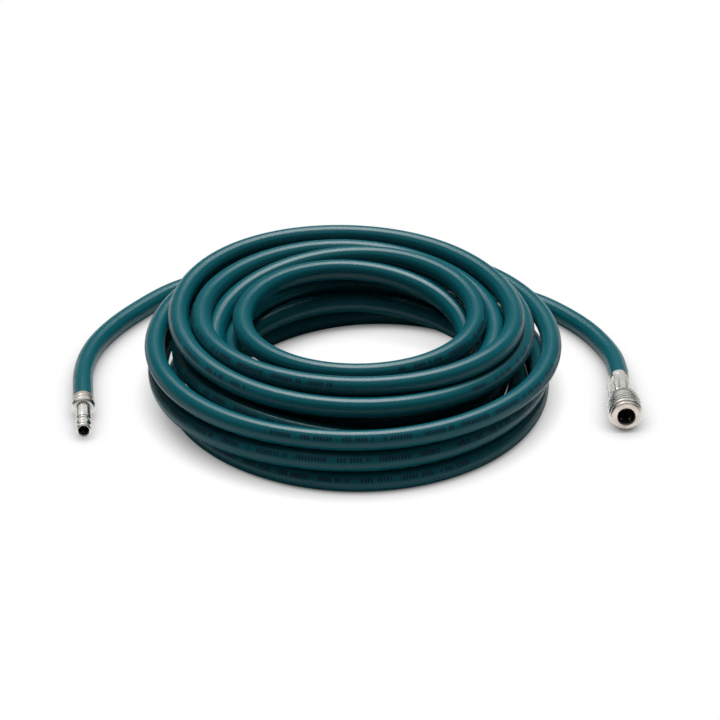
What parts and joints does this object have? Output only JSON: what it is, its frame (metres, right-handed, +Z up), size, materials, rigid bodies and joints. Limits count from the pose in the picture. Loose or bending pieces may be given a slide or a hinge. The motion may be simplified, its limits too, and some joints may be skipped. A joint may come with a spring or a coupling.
{
  "type": "coiled air hose",
  "caption": "Coiled air supply hose with a quick-connect plug on one end and a spring-loaded quick coupler with sliding locking sleeve on the other.",
  "frame": {"origin": "bottom centre of the whole object, on the surface that the coil lies on", "axes": "+Z up, +X to the right, both fittings point towards -Y (the front)"},
  "size_m": [0.4471, 0.3516, 0.077],
  "materials": {
    "hose": "satin teal cover with a faint textile braid showing through",
    "nickel": "nickel-plated, turned",
    "warm_nickel": "nickel-plated brass, turned, slightly warm",
    "ferrule": "plated, satin",
    "spring_steel": "drawn wire",
    "ball_steel": "polished",
    "seal": "matte nitrile"
  },
  "bodies": {
    "hose": {"hose_coil": "hose", "hose_tail_plug": "hose", "hose_tail_coupler": "hose", "plug_ferrule": "ferrule", "plug_body": "nickel", "hose_nut": "nickel", "barb_adapter": "nickel", "adapter_seal": "seal", "socket_body": "warm_nickel", "plug_seal": "seal", "stop_ring": "spring_steel", "sleeve_spring": "spring_steel", "valve_spring": "spring_steel"},
    "sleeve": {"locking_sleeve": "nickel"},
    "valve": {"valve_poppet": "nickel", "valve_seal": "seal"},
    "ball_1": {"ball_1": "ball_steel"},
    "ball_2": {"ball_2": "ball_steel"},
    "ball_3": {"ball_3": "ball_steel"},
    "ball_4": {"ball_4": "ball_steel"},
    "ball_5": {"ball_5": "ball_steel"},
    "ball_6": {"ball_6": "ball_steel"}
  },
  "joints": [
    {"name": "sleeve_slide", "type": "slide", "parent": "hose", "child": "sleeve", "axis": [-0.0523, 0.9973, -0.0523], "range_m": [0, 0.0043], "stiffness_N_per_m": 1200, "springref_m": -0.003, "deforming": ["sleeve_spring"]},
    {"name": "valve_slide", "type": "slide", "parent": "hose", "child": "valve", "axis": [-0.0523, 0.9973, -0.0523], "range_m": [0, 0.004], "stiffness_N_per_m": 500, "springref_m": -0.003, "deforming": ["valve_spring"]},
    {"name": "ball_1_slide", "type": "slide", "parent": "hose", "child": "ball_1", "axis": [0.9986, 0.0523, 0], "range_m": [0, 0.001]},
    {"name": "ball_2_slide", "type": "slide", "parent": "hose", "child": "ball_2", "axis": [0.4969, 0.0714, 0.8648], "range_m": [0, 0.001]},
    {"name": "ball_3_slide", "type": "slide", "parent": "hose", "child": "ball_3", "axis": [-0.5017, 0.0191, 0.8648], "range_m": [0, 0.001]},
    {"name": "ball_4_slide", "type": "slide", "parent": "hose", "child": "ball_4", "axis": [-0.9986, -0.0523, 0], "range_m": [0, 0.001]},
    {"name": "ball_5_slide", "type": "slide", "parent": "hose", "child": "ball_5", "axis": [-0.4969, -0.0714, -0.8648], "range_m": [0, 0.001]},
    {"name": "ball_6_slide", "type": "slide", "parent": "hose", "child": "ball_6", "axis": [0.5017, -0.0191, -0.8648], "range_m": [0, 0.001]}
  ],
  "couplings": [
    {"joint": "ball_1_slide", "follows": "sleeve_slide", "ratio": 0.22},
    {"joint": "ball_2_slide", "follows": "sleeve_slide", "ratio": 0.22},
    {"joint": "ball_3_slide", "follows": "sleeve_slide", "ratio": 0.22},
    {"joint": "ball_4_slide", "follows": "sleeve_slide", "ratio": 0.22},
    {"joint": "ball_5_slide", "follows": "sleeve_slide", "ratio": 0.22},
    {"joint": "ball_6_slide", "follows": "sleeve_slide", "ratio": 0.22}
  ]
}
